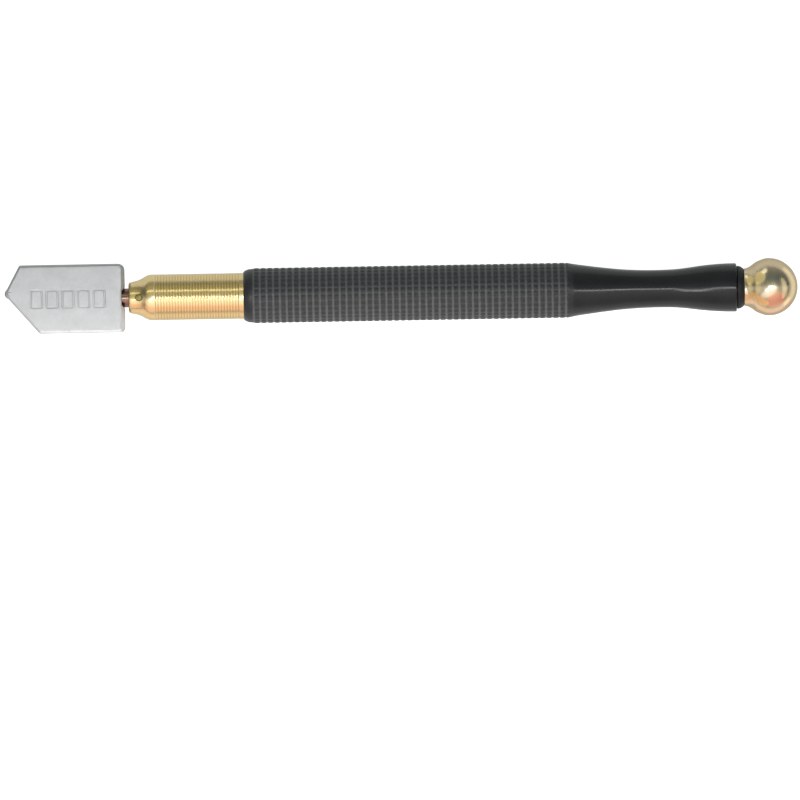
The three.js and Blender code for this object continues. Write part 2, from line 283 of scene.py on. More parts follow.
def round_outline(points, seg=6):
    """Outline points [(x, y, radius)] with round corners, closed."""
    out = []
    n = len(points)
    for i, p in enumerate(points):
        a = np.array(points[i - 1][:2], float)
        b = np.array(p[:2], float)
        c = np.array(points[(i + 1) % n][:2], float)
        r = p[2]
        if r <= 0:
            out.append(tuple(b))
            continue
        u, v = (a - b), (c - b)
        u, v = u / np.linalg.norm(u), v / np.linalg.norm(v)
        ang = math.acos(float(u @ v))
        t = r / math.tan(ang / 2)
        s, e = b + u * t, b + v * t
        bis = (u + v) / np.linalg.norm(u + v)
        ce = b + bis * (r / math.sin(ang / 2))
        a0 = math.atan2(*(s - ce)[::-1])
        a1 = math.atan2(*(e - ce)[::-1])
        d = (a1 - a0 + math.pi) % (2 * math.pi) - math.pi
        for k in range(seg + 1):
            w = a0 + d * k / seg
            out.append((ce[0] + r * math.cos(w), ce[1] + r * math.sin(w)))
    return out


# ------------------------------------------------------------------ material helpers
class Mat:
    """A Principled material with object-space procedural detail."""

    def __init__(self, name, color, metallic=0.0, rough=0.5, **sockets):
        self.m = bpy.data.materials.new(name)
        self.m.use_nodes = True
        self.nt = self.m.node_tree
        self.b = self.nt.nodes["Principled BSDF"]
        self.b.inputs["Base Color"].default_value = (*color, 1)
        self.b.inputs["Metallic"].default_value = metallic
        self.b.inputs["Roughness"].default_value = rough
        for k, v in sockets.items():
            self.b.inputs[k.replace("_", " ")].default_value = v
        self.tc = self.nt.nodes.new("ShaderNodeTexCoord")
        self.normal = None

    def node(self, kind, **props):
        n = self.nt.nodes.new(kind)
        for k, v in props.items():
            setattr(n, k, v)
        return n

    def link(self, a, b):
        self.nt.links.new(a, b)

    def coords(self, scale=(1, 1, 1)):
        mp = self.node("ShaderNodeMapping")
        mp.inputs["Scale"].default_value = scale
        self.link(self.tc.outputs["Object"], mp.inputs["Vector"])
        return mp.outputs["Vector"]

    def noise(self, size_mm, detail=3.0, rough=0.55, stretch=(1, 1, 1), distortion=0.0):
        n = self.node("ShaderNodeTexNoise")
        n.inputs["Scale"].default_value = 1.0 / (size_mm * MM)
        n.inputs["Detail"].default_value = detail
        n.inputs["Roughness"].default_value = rough
        n.inputs["Distortion"].default_value = distortion
        self.link(self.coords(stretch), n.inputs["Vector"])
        return n.outputs["Fac"]

    def voronoi(self, size_mm, feature="F1", stretch=(1, 1, 1)):
        n = self.node("ShaderNodeTexVoronoi", feature=feature)
        n.inputs["Scale"].default_value = 1.0 / (size_mm * MM)
        self.link(self.coords(stretch), n.inputs["Vector"])
        return n.outputs["Distance"]

    def ramp(self, fac, lo, hi, out_lo=0.0, out_hi=1.0):
        n = self.node("ShaderNodeMapRange", clamp=True)
        self.link(fac, n.inputs["Value"])
        n.inputs["From Min"].default_value = lo
        n.inputs["From Max"].default_value = hi
        n.inputs["To Min"].default_value = out_lo
        n.inputs["To Max"].default_value = out_hi
        return n.outputs["Result"]

    def math(self, op, a, b=None):
        n = self.node("ShaderNodeMath", operation=op)
        for i, v in enumerate((a, b)):
            if v is None:
                continue
            if isinstance(v, (int, float)):
                n.inputs[i].default_value = v
            else:
                self.link(v, n.inputs[i])
        return n.outputs[0]

    def mix(self, fac, a, b):
        n = self.node("ShaderNodeMix", data_type="RGBA")
        self.link(fac, n.inputs["Factor"])
        ins = [s for s in n.inputs if s.type == "RGBA"]
        for s, v in zip(ins, (a, b)):
            if isinstance(v, tuple):
                s.default_value = (*v, 1)
            else:
                self.link(v, s)
        return [o for o in n.outputs if o.type == "RGBA"][0]

    def attribute(self, name):
        n = self.node("ShaderNodeAttribute", attribute_name=name)
        return n.outputs["Fac"]

    def base(self, out):
        self.link(out, self.b.inputs["Base Color"])

    def rough(self, out):
        self.link(out, self.b.inputs["Roughness"])

    def bump(self, height, depth_mm, strength=1.0):
        n = self.node("ShaderNodeBump")
        n.inputs["Distance"].default_value = depth_mm * MM
        n.inputs["Strength"].default_value = strength
        self.link(height, n.inputs["Height"])
        if self.normal is not None:
            self.link(self.normal, n.inputs["Normal"])
        self.normal = n.outputs["Normal"]
        self.link(self.normal, self.b.inputs["Normal"])


def zinc():
    m = Mat("satin_zinc", (0.60, 0.60, 0.61), 0.9, 0.5)
    grain = m.noise(0.16, 4, 0.65)
    cloud = m.noise(2.6, 3, 0.5)
    tone = m.mix(m.ramp(cloud, 0.35, 0.65), (0.492, 0.489, 0.488), (0.542, 0.539, 0.538))
    speck = m.ramp(grain, 0.42, 0.62)
    m.base(m.mix(m.math("MULTIPLY", speck, 0.35), tone, (0.64, 0.638, 0.64)))
    m.rough(m.ramp(m.noise(0.5, 4, 0.6), 0.3, 0.7, 0.42, 0.58))
    m.bump(grain, 0.020, 0.55)
    m.bump(m.noise(1.1, 2, 0.5), 0.02, 0.35)
    return m.m


def carbide():
    m = Mat("ground_carbide", (0.17, 0.17, 0.18), 1.0, 0.32)
    g = m.noise(0.05, 3, 0.6)
    m.base(m.mix(m.ramp(g, 0.35, 0.7), (0.13, 0.13, 0.14), (0.24, 0.24, 0.25)))
    m.rough(m.ramp(m.noise(0.3, 3), 0.3, 0.7, 0.24, 0.42))
    m.bump(g, 0.004, 0.5)
    return m.m


def steel(name="pin_steel", dark=(0.36, 0.36, 0.38), light=(0.52, 0.52, 0.54), r=(0.22, 0.38)):
    m = Mat(name, light, 1.0, 0.3)
    g = m.noise(0.12, 4, 0.6, stretch=(1, 1, 4))
    m.base(m.mix(m.ramp(g, 0.3, 0.7), dark, light))
    m.rough(m.ramp(m.noise(0.6, 3), 0.3, 0.7, *r))
    m.bump(g, 0.004, 0.4)
    return m.m


def turned_metal(name, dark, light, warm, r=(0.16, 0.3), lines=0.4, line_mm=0.05, spots=0.0, ribs=None):
    """Lathe-turned metal: fine rings across the tool axis, slow tarnish clouds, small handling marks; with ribs,
    painted shade in the rib grooves.
    """
    m = Mat(name, light, 1.0, 0.22)
    cloud = m.noise(3.2, 4, 0.55)
    fine = m.noise(line_mm, 2, 0.5, stretch=(1, 0.02, 0.02))
    tone = m.mix(m.ramp(cloud, 0.38, 0.68), light, warm)
    tone = m.mix(m.math("MULTIPLY", m.ramp(fine, 0.35, 0.7), lines), tone, dark)
    if spots:
        sp = m.ramp(m.noise(0.55, 5, 0.7), 0.60, 0.74)
        tone = m.mix(m.math("MULTIPLY", sp, spots), tone, dark)
    if ribs:
        # painted shade: the colour darkens toward the bottom of each rib groove
        first, last, pitch, depth = ribs
        sep = m.node("ShaderNodeSeparateXYZ")
        m.link(m.tc.outputs["Object"], sep.inputs[0])
        x = sep.outputs["X"]
        u = m.math("FRACT", m.math("DIVIDE", m.math("SUBTRACT", x, X(first)), pitch * MM))
        far = m.math("ABSOLUTE", m.math("SUBTRACT", u, 0.5))
        low = m.ramp(far, 0.22, 0.44)
        inside = m.math("MULTIPLY", m.math("GREATER_THAN", x, X(first - 0.05)), m.math("LESS_THAN", x, X(last)))
        tone = m.mix(m.math("MULTIPLY", m.math("MULTIPLY", low, inside), depth), tone, dark)
        # a narrow burnished land in front of the ribs
        land = m.math("MULTIPLY", m.math("GREATER_THAN", x, X(first - 0.30)), m.math("LESS_THAN", x, X(first - 0.02)))
        tone = m.mix(m.math("MULTIPLY", land, 0.20), tone, (0.98, 0.93, 0.68))
    m.base(tone)
    rr = m.ramp(m.noise(0.9, 4, 0.6), 0.3, 0.75, *r)
    m.rough(m.math("ADD", rr, m.math("MULTIPLY", land, 0.10)) if ribs else rr)
    m.bump(fine, 0.003, 0.35)
    m.bump(m.noise(0.35, 3, 0.6), 0.003, 0.2)
    return m.m


def polished(name, light, warm):
    """Polished brass-toned plate: faint haze, hairline scratches round the turning, tiny pits."""
    m = Mat(name, light, 1.0, 0.1)
    cloud = m.noise(4.0, 3, 0.5)
    m.base(m.mix(m.ramp(cloud, 0.35, 0.7), light, warm))
    haze = m.ramp(m.noise(1.4, 5, 0.65), 0.4, 0.7, 0.17, 0.25)
    hair = m.ramp(m.noise(0.09, 2, 0.5, stretch=(1, 0.03, 0.03)), 0.55, 0.7, 0.0, 0.10)
    m.b.inputs["Specular Tint"].default_value = (0.84, 0.78, 0.70, 1)
    m.rough(m.math("ADD", haze, hair))
    m.bump(m.noise(0.10, 2, 0.5, stretch=(1, 0.03, 0.03)), 0.0006, 0.35)
    m.bump(m.noise(0.8, 2, 0.5), 0.003, 0.12)
    return m.m


def handle_plastic():
    """Moulded black plastic: matt in the grip's relief, glossy on the waist, with light rub marks."""
    m = Mat("black_plastic", (0.02, 0.02, 0.021), 0.0, 0.35)
    m.b.inputs["Specular IOR Level"].default_value = 0.42
    relief = m.attribute("relief")                   # 0 smooth, 1 nub top, 2 groove
    groove = m.ramp(relief, 1.0, 2.0)
    grip = m.ramp(relief, 0.0, 1.0)
    dust = m.noise(0.7, 4, 0.65)
    smooth_tone = m.mix(m.ramp(m.noise(5.0, 3), 0.3, 0.7), (0.0095, 0.0095, 0.010), (0.014, 0.014, 0.0148))
    top_tone = m.mix(m.ramp(dust, 0.3, 0.7), (0.018, 0.018, 0.0185), (0.029, 0.029, 0.030))
    groove_tone = m.mix(m.ramp(dust, 0.25, 0.75), (0.053, 0.053, 0.054), (0.088, 0.088, 0.089))
    m.base(m.mix(grip, smooth_tone, m.mix(groove, top_tone, groove_tone)))
    fine = m.ramp(m.noise(0.12, 3, 0.6), 0.3, 0.7, 0.0, 0.04)
    rub = m.ramp(m.noise(2.2, 5, 0.6, stretch=(0.35, 1, 1)), 0.45, 0.75, 0.0, 0.08)
    base_r = m.ramp(relief, 0.0, 1.0, 0.12, 0.44)
    m.rough(m.math("ADD", m.math("ADD", base_r, fine), rub))
    m.bump(m.math("MULTIPLY", m.noise(0.10, 3, 0.6), m.ramp(relief, 0.0, 1.0, 0.15, 1.0)), 0.004, 0.25)
    return m.m


def rubber():
    m = Mat("black_rubber", (0.012, 0.012, 0.0125), 0.0, 0.5)
    g = m.noise(0.1, 4, 0.6)
    m.base(m.mix(m.ramp(g, 0.3, 0.7), (0.006, 0.006, 0.0063), (0.014, 0.014, 0.0146)))
    m.rough(m.ramp(m.noise(0.6, 3), 0.3, 0.7, 0.45, 0.62))
    m.bump(g, 0.006, 0.4)
    return m.m


def cotton():
    m = Mat("wick_cotton", (0.78, 0.73, 0.62), 0.0, 0.95, Sheen_Weight=0.3)
    g = m.noise(0.08, 4, 0.7, stretch=(0.25, 1, 1))
    m.base(m.mix(m.ramp(g, 0.3, 0.7), (0.58, 0.52, 0.40), (0.86, 0.82, 0.72)))
    m.rough(m.ramp(g, 0.3, 0.7, 0.85, 0.98))
    m.bump(g, 0.03, 0.7)
    return m.m


ZINC = zinc()
CARBIDE = carbide()
PIN = steel()
SPRING = steel("spring_wire", (0.42, 0.42, 0.44), (0.60, 0.60, 0.62), (0.16, 0.28))
COPPER = turned_metal("copper_tone", (0.09, 0.055, 0.04), (0.25, 0.16, 0.12), (0.29, 0.19, 0.145), (0.14, 0.24), 0.45)
# ribs: first rib, last rib, pitch, and how strong the painted shade in the grooves is
BRASS = turned_metal("turned_brass", (0.34, 0.25, 0.085), (0.81, 0.645, 0.31), (0.83, 0.655, 0.335), (0.16, 0.27), 0.14, spots=0.10,
                     ribs=(33.3, 52.2, 0.633, 0.42))
VALVE = turned_metal("valve_brass", (0.38, 0.26, 0.09), (0.74, 0.56, 0.27), (0.78, 0.62, 0.34), (0.2, 0.34), 0.4)
# painted shade: the lock screw's brass is darkened far below the ferrule's, standing in for the shade at the bottom of
# its hole
SCREW = turned_metal("screw_brass", (0.10, 0.08, 0.03), (0.20, 0.165, 0.055), (0.16, 0.13, 0.045), (0.24, 0.40), 0.35, 0.04)
BALL = polished("polished_champagne", (0.60, 0.505, 0.345), (0.57, 0.475, 0.305))
PLASTIC = handle_plastic()
RUBBER = rubber()
COTTON = cotton()


def finish_piece(ob, body, node, material):
    ob.data.materials.clear()
    ob.data.materials.append(material)
    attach(ob, body)
    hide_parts(node)
    return ob


# ------------------------------------------------------------------ thread shared by the cap and the handle
PITCH = 1.0
THREAD_MEAN, THREAD_AMP, THREAD_GAP = 3.45, 0.26, 0.18


def thread_radius(x, a, mean):
    u = x / PITCH - a / (2 * math.pi)
    return mean + THREAD_AMP * np.cos(2 * math.pi * u)


# ------------------------------------------------------------------ handle
NUB_ROWS, NUB_COLS = 47, 28
GRIP_X0, GRIP_X1 = 54.95, 124.25
PITCH_X = (GRIP_X1 - GRIP_X0) / (NUB_ROWS + 0.35)
ROOT_R, TOP_R = 5.975, 6.08
COLLAR_R = 5.90
NUB_STOPS = (0.0, 0.10, 0.18, 0.26, 0.74, 0.82, 0.90)   # one period: groove, flank, top, flank


def nub_shape(u):
    """Height over one period: 0 in the groove, 1 on top, rounded flanks."""
    d = np.abs(((u + 0.5) % 1.0) - 0.5)              # 0 in the middle of the groove, 0.5 in the middle of the nub
    t = np.clip((d - 0.09) / 0.17, 0, 1)
    return t * t * (3 - 2 * t)


WAIST = [(124.3, 5.98), (126.3, 5.61), (128.3, 5.34), (130.2, 5.08), (132.2, 4.84), (134.2, 4.62), (136.2, 4.42),
         (138.2, 4.29), (140.2, 4.19), (142.2, 4.14), (144.1, 4.13), (146.1, 4.15), (148.1, 4.22), (150.1, 4.41),
         (152.1, 4.68), (154.1, 4.93), (156.1, 5.11), (158.0, 5.235), (160.0, 5.30)]


def smooth_waist(step=0.75):
    xs = np.array([p[0] for p in WAIST])
    rs = np.array([p[1] for p in WAIST]) + 0.05
    n = len(xs)
    m = np.zeros(n)
    d = np.diff(rs) / np.diff(xs)
    m[0], m[-1] = d[0], d[-1]
    m[1:-1] = (d[:-1] + d[1:]) / 2
    out = []
    x = xs[0]
    while x <= xs[-1] + 1e-9:
        i = min(int(np.searchsorted(xs, x, "right")) - 1, n - 2)
        h = xs[i + 1] - xs[i]
        t = (x - xs[i]) / h
        r = ((2 * t**3 - 3 * t**2 + 1) * rs[i] + (t**3 - 2 * t**2 + t) * h * m[i]
             + (-2 * t**3 + 3 * t**2) * rs[i + 1] + (t**3 - t**2) * h * m[i + 1])
        out.append((x, r))
        x += step
    # a light smoothing keeps the highlight even
    r = np.array([p[1] for p in out])
    for _ in range(3):
        r[1:-1] = (r[:-2] + 2 * r[1:-1] + r[2:]) / 4
    return [(p[0], float(q)) for p, q in zip(out, r)]


def build_handle():
    grip_rows = []
    for k in range(NUB_ROWS + 1):
        for s in NUB_STOPS:
            x = GRIP_X0 + (k + s) * PITCH_X
            if x <= GRIP_X1 + 1e-6:
                grip_rows.append(x)
    front = fillet([(52.75, 5.16), (52.75, 5.24, 0.06), (53.15, 5.60, 0.5), (54.0, COLLAR_R, 0.9), (54.7, COLLAR_R)], seg=6)
    front = front[:-1] + [(54.5, COLLAR_R)]
    grip = [(x, ROOT_R) for x in grip_rows]
    waist = [(124.42, 6.0)] + [p for p in smooth_waist() if p[0] > 124.5]
    end = fillet([(160.2, 5.352), (161.5, 5.36, 0.30), (161.5, 4.0)], seg=5)[1:]
    thread_rows = [161.5 - 0.125 * k for k in range(0, 42)]
    entry = 161.5
    bore = [(x, 3.63) for x in thread_rows]
    inner = [(156.2, 3.1), (120.0, 3.1), (80.0, 3.1), (62.5, 3.1), (62.5, 4.58), (55.0, 4.58), (55.0, 5.15), (52.95, 5.15)]
    profile = front + grip + waist + end + bore + inner
    n_front, n_grip = len(front), len(grip)
    i_bore = len(front) + len(grip) + len(waist) + len(end)
    cols = NUB_COLS * len(NUB_STOPS)

    def angles(a):
        return a

    # uneven columns follow the nub stops; the lathe takes even angles, so they are remapped here
    period = 2 * math.pi / NUB_COLS
    stops = np.array(NUB_STOPS)

    def remap(aa):
        idx = np.round(aa / (2 * math.pi) * cols).astype(int)
        return (idx // len(stops)) * period + stops[idx % len(stops)] * period

    def fn(x, r, a):
        th = remap(a)
        a[...] = th
        r = r.copy()
        g = slice(n_front, n_front + n_grip)
        ux = (x[g] - GRIP_X0) / PITCH_X
        ua = th[g] / period
        h = nub_shape(ux) * nub_shape(ua)
        r[g] = ROOT_R + (TOP_R - ROOT_R) * h
        w = slice(n_front + n_grip, i_bore - len(end))
        fade = np.clip((x[w] - 124.6) / 4.0, 0, 1) * np.clip((161.0 - x[w]) / 3.0, 0, 1)
        r[w] += fade * (0.035 * np.sin(2 * th[w] + 0.115 * x[w] + 0.6) + 0.022 * np.sin(3 * th[w] - 0.21 * x[w] + 2.1))
        b = slice(i_bore, i_bore + len(bore))
        rr = thread_radius(x[b], th[b], THREAD_MEAN + THREAD_GAP)
        lead = np.clip((x[b] - 160.9) / 0.6, 0, 1)
        r[b] = np.maximum(rr, 3.63 + 0.35 * lead)    # countersunk entry
        return x, r

    def tag(x, r, a):
        v = np.zeros_like(r)
        g = slice(n_front, n_front + n_grip)
        h = (r[g] - ROOT_R) / (TOP_R - ROOT_R)
        along = 1 - nub_shape((x[g] - GRIP_X0) / PITCH_X)
        v[g] = 1.0 + (1 - np.clip(h, 0, 1)) * (0.18 + 0.82 * along)
        v[n_front + n_grip:n_front + n_grip + 2] = 0.6
        v[:n_front] = 0.62                           # the collar is half matt
        return v

    ob = lathe("handle_barrel_fine", profile, cols, fn=fn, loop=True, sharp=50, tag=tag)
    finish_piece(ob, "barrel", "handle_barrel", PLASTIC)
    return ob


# ------------------------------------------------------------------ ferrule, gasket, lock screw
FERRULE_R = 5.08
RIB_X0, RIB_X1, RIB_PITCH, RIB_H = 33.3, 52.2, 0.633, 0.07
SCREW_X, SCREW_R = 29.7, 0.75


def build_ferrule():
    outer = [(27.72, 2.25), (27.55, 2.32), (27.4, 2.5), (27.4, 3.02), (27.43, 3.15), (27.52, 3.28), (27.68, 3.39), (27.9, 3.46),
             (28.2, 3.53), (28.6, 3.605), (29.0, 3.70), (29.4, 3.815), (29.8, 3.965), (30.2, 4.15), (30.6, 4.375), (31.0, 4.62),
             (31.3, 4.79), (31.6, 4.92), (31.9, 5.00), (32.3, 5.055), (32.7, FERRULE_R), (33.1, FERRULE_R)]
    ribs = []
    n = int((RIB_X1 - RIB_X0) / RIB_PITCH)
    for k in range(n):
        for s, h in ((0.0, 0.0), (0.10, 0.05), (0.26, 0.72), (0.40, 0.97), (0.50, 1.0), (0.60, 0.97), (0.74, 0.72), (0.90, 0.05)):
            ribs.append((RIB_X0 + (k + s) * RIB_PITCH, FERRULE_R - RIB_H * (1 - h) + 0.01))
    last = RIB_X0 + n * RIB_PITCH
    outer += [(33.22, FERRULE_R)] + ribs + [(last, FERRULE_R - RIB_H), (last + 0.08, FERRULE_R - 0.02), (last + 0.2, FERRULE_R)]
    rest = [(54.0, FERRULE_R), (54.0, 4.5), (61.6, 4.5), (62.0, 4.1), (62.0, 3.85), (50.0, 3.85), (50.0, 3.25),
            (33.5, 3.25), (33.5, 2.25)]
    ob = lathe("ferrule_fine", outer + rest, 128, loop=True, sharp=32)
    hole = lathe("hole", [(1.9, 0), (1.9, SCREW_R + 0.07), (6, SCREW_R + 0.07), (6, 0)], 40, axis="z", centre=(SCREW_X, 0))
    cut(ob, hole, sharp=32)
    finish_piece(ob, "barrel", "ferrule", BRASS)

    g = lathe("ferrule_gasket_fine", fillet([(54.05, 4.8), (54.05, 5.05, 0.12), (54.95, 5.05, 0.12), (54.95, 4.58, 0.12), (54.05, 4.58, 0.12), (54.05, 4.8)], seg=3)[:-1], 64, loop=True)
    finish_piece(g, "barrel", "ferrule_gasket", RUBBER)

    s = lathe("stem_lock_screw_fine", fillet([(1.80, 0), (1.80, 0.6, 0.08), (2.35, 0.6), (2.35, SCREW_R, 0.05), (3.62, SCREW_R, 0.12), (3.62, 0)], seg=4), 40,
              axis="z", centre=(SCREW_X, 0))
    a = math.radians(35)
    slot = prism("slot", [(SCREW_X + u * math.cos(a) - v * math.sin(a), u * math.sin(a) + v * math.cos(a))
                          for u, v in ((-1, -0.13), (1, -0.13), (1, 0.13), (-1, 0.13))], 3.22, 4.0)
    cut(s, slot)
    # the lock screw takes the darkened brass with painted shade
    finish_piece(s, "barrel", "stem_lock_screw", SCREW)


# ------------------------------------------------------------------ valve parts inside the ferrule
def helix_tube(name, x0, x1, radius, wire, turns, steps, sides):
    t = np.linspace(0, 1, steps + 1)
    ang = t * turns * 2 * math.pi
    e = t - 0.055 * np.sin(4 * math.pi * t) / math.pi
    c = np.stack([x0 + (x1 - x0) * e, radius * np.cos(ang), radius * np.sin(ang)], -1)
    d = np.gradient(c, axis=0)
    d /= np.linalg.norm(d, axis=1)[:, None]
    radial = np.stack([np.zeros_like(ang), np.cos(ang), np.sin(ang)], -1)
    u = radial - (radial * d).sum(1)[:, None] * d
    u /= np.linalg.norm(u, axis=1)[:, None]
    v = np.cross(d, u)
    b = np.arange(sides) * 2 * math.pi / sides
    ring = c[:, None, :] + wire * (np.cos(b)[None, :, None] * u[:, None, :] + np.sin(b)[None, :, None] * v[:, None, :])
    pts = ring.reshape(-1, 3)
    verts = np.stack([TIP + pts[:, 0] * MM, pts[:, 1] * MM, AXIS_Z + pts[:, 2] * MM], -1)
    ends = np.stack([TIP + c[[0, -1], 0] * MM, c[[0, -1], 1] * MM, AXIS_Z + c[[0, -1], 2] * MM], -1)
    verts = np.vstack([verts, ends])
    i = np.arange(steps)[:, None] * sides
    j = np.arange(sides)[None, :]
    j2 = (j + 1) % sides
    quads = np.stack([i + j, i + j2, i + sides + j2, i + sides + j], -1).reshape(-1, 4)
    base, last = len(pts), steps * sides
    tris = [(base, (k + 1) % sides, k) for k in range(sides)] + [(base + 1, last + k, last + (k + 1) % sides) for k in range(sides)]
    return make_mesh(name, verts, (quads, np.array(tris)), sharp=60)


def build_valve():
    x0 = 38.06
    p = lathe("feed_plunger_fine", fillet([(x0, 0), (x0, 2.9, 0.25), (x0 + 0.2, 3.05, 0.15), (x0 + 1.95, 3.05, 0.15), (x0 + 1.95, 1.6),
                                          (x0 + 2.6, 1.0, 0.2), (56.4, 1.0, 0.15), (56.6, 0.75, 0.1), (56.6, 0)], seg=3), 64)
    for i in range(3):
        w = i * 2 * math.pi / 3 + math.pi / 6
        f = lathe("flute", [(x0 - 1, 0), (x0 - 1, 0.75), (x0 + 3, 0.75), (x0 + 3, 0)], 24)
        f.data.transform(Matrix.Translation((0, 3.2 * MM * math.cos(w), 3.2 * MM * math.sin(w))))
        cut(p, f)
    finish_piece(p, "feed_valve", "feed_plunger", VALVE)

    s = helix_tube("plunger_spring_fine", 40.45, 49.6, 2.45, 0.29, 6.5, 260, 12)
    finish_piece(s, "barrel", "plunger_spring", SPRING)
    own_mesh(s)

    seat = lathe("valve_seat_fine", fillet([(52, 1.3), (50.36, 1.3, 0.1), (50.06, 1.6, 0.05), (50.06, 3.55, 0.1), (50.3, 3.79, 0.1),
                                           (54.0, 3.79, 0.15), (54.0, 1.7, 0.1), (53.7, 1.3, 0.1), (52, 1.3)], seg=3)[:-1][::-1], 64, loop=True)
    flip_if_inside_out(seat)
    finish_piece(seat, "barrel", "valve_seat", VALVE)
    seal = lathe("valve_seal_fine", fillet([(54.6, 1.06), (54.06, 1.06, 0.1), (54.06, 2.5, 0.15), (55.2, 2.5, 0.15), (55.2, 1.06, 0.1), (54.6, 1.06)], seg=4)[:-1], 64, loop=True)
    flip_if_inside_out(seal)
    finish_piece(seal, "feed_valve", "valve_seal", RUBBER)
    ret = lathe("valve_retainer_fine", fillet([(55.8, 1.06), (55.26, 1.06, 0.08), (55.26, 2.0, 0.08), (56.1, 2.0, 0.2), (56.3, 1.8, 0.08), (56.3, 1.06, 0.08), (55.8, 1.06)], seg=3)[:-1], 64, loop=True)
    flip_if_inside_out(ret)
    finish_piece(ret, "feed_valve", "valve_retainer", SPRING)


def flip_if_inside_out(ob):
    bm = bmesh.new()
    bm.from_mesh(ob.data)
    if bm.calc_volume(signed=True) < 0:
        bmesh.ops.reverse_faces(bm, faces=bm.faces)
        bm.to_mesh(ob.data)
        ob.data.update()
    bm.free()


# ------------------------------------------------------------------ head, wheel, axle, stem, wick
HEAD_W = 7.57
HEAD_REAR = 26.5
HEAD_OUT = [(0.35, 0.78, 0.16), (7.65, -HEAD_W, 0.45), (HEAD_REAR, -HEAD_W, 1.0), (HEAD_REAR, HEAD_W, 1.3), (3.4, HEAD_W, 0.45),
            (0.35, 1.87, 0.20)]
CHAMFER = 0.50


HEAD_CROWN = 0.14


def sloped_prism(name, box, radius, z0, z1, slope):
    """A rounded block over box (x0, x1, y0, y1) at z0, growing by slope mm each way up to z1."""
    x0, x1, y0, y1 = box
    lo = round_outline([(x0, y0, radius), (x1, y0, radius), (x1, y1, radius), (x0, y1, radius)], seg=6)
    g = slope
    hi = round_outline([(x0 - g, y0 - g, radius + g), (x1 + g, y0 - g, radius + g), (x1 + g, y1 + g, radius + g), (x0 - g, y1 + g, radius + g)], seg=6)
    n = len(lo)
    verts = [(X(x), y * MM, AXIS_Z + z0 * MM) for x, y in lo] + [(X(x), y * MM, AXIS_Z + z1 * MM) for x, y in hi]
    faces = [tuple(range(n - 1, -1, -1)), tuple(range(n, 2 * n))]
    faces += [(i, (i + 1) % n, n + (i + 1) % n, n + i) for i in range(n)]
    return make_mesh(name, verts, faces, smooth=False)


